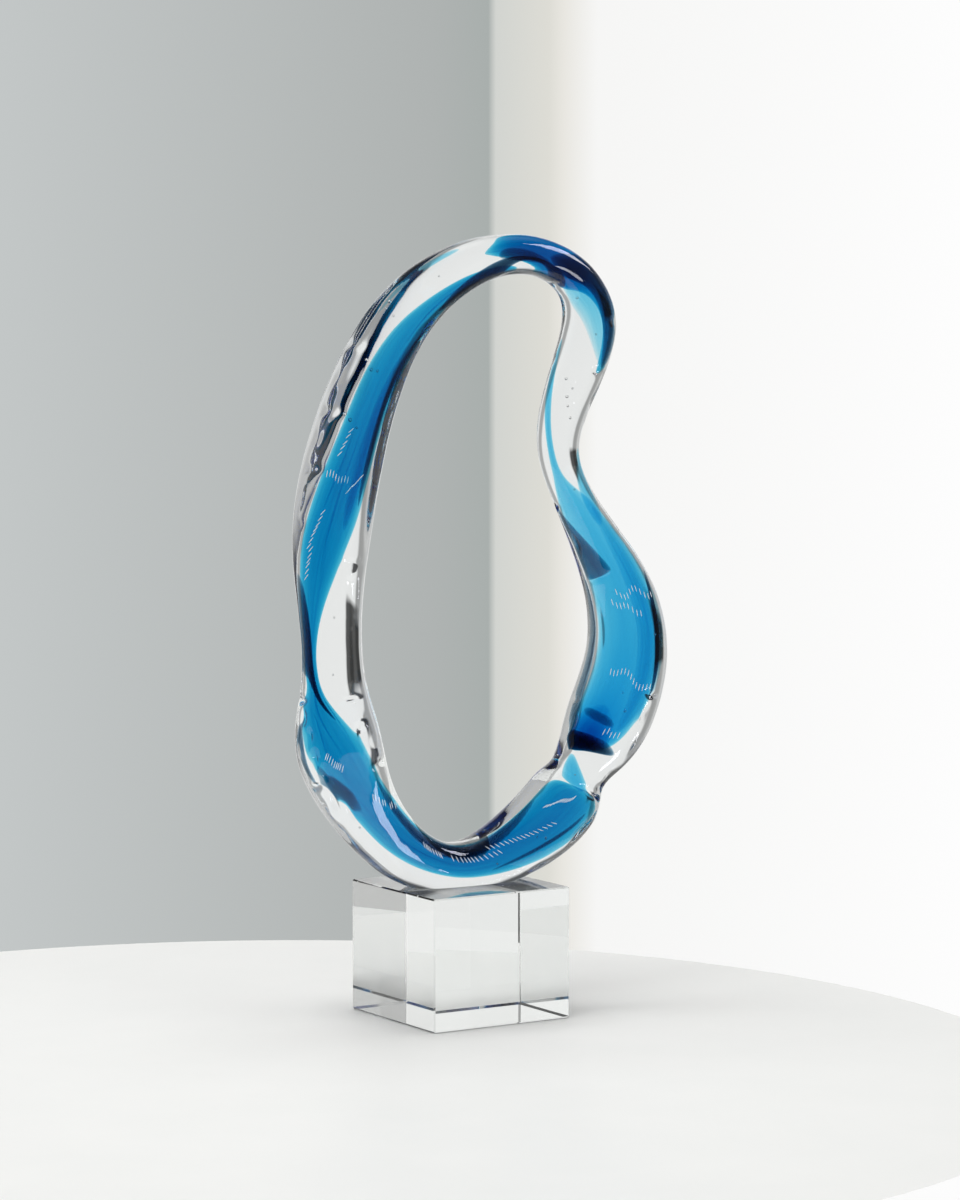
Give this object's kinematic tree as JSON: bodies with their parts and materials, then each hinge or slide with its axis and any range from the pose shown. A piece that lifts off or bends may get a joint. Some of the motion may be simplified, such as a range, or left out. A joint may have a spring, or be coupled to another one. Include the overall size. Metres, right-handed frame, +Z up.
{
  "type": "glass sculpture",
  "caption": "Free-form ring of clear glass with blue glass sealed inside, bonded upright on a clear square block: an ornament to stand on a table or shelf.",
  "frame": {"origin": "middle of the block's underside, on the surface that it stands on", "axes": "+Z up; the ring's plane is X and Z, with the belly towards +X and the smooth left side towards -X; the front is towards -Y"},
  "size_m": [0.2164, 0.08, 0.3932],
  "materials": {
    "block_crystal": "cut and polished optical crystal",
    "clear_adhesive": "clear cured adhesive",
    "clear_glass": "fire-polished, smooth and wavy",
    "blue_glass": "transparent blue, sealed in clear glass"
  },
  "bodies": {
    "root": {"crystal_base": "block_crystal", "glue_film": "clear_adhesive", "clear_casing": "clear_glass", "long_ribbon": "blue_glass", "crown_ribbon": "blue_glass", "belly_ribbon": "blue_glass", "fold_wedge": "blue_glass"}
  },
  "joints": []
}
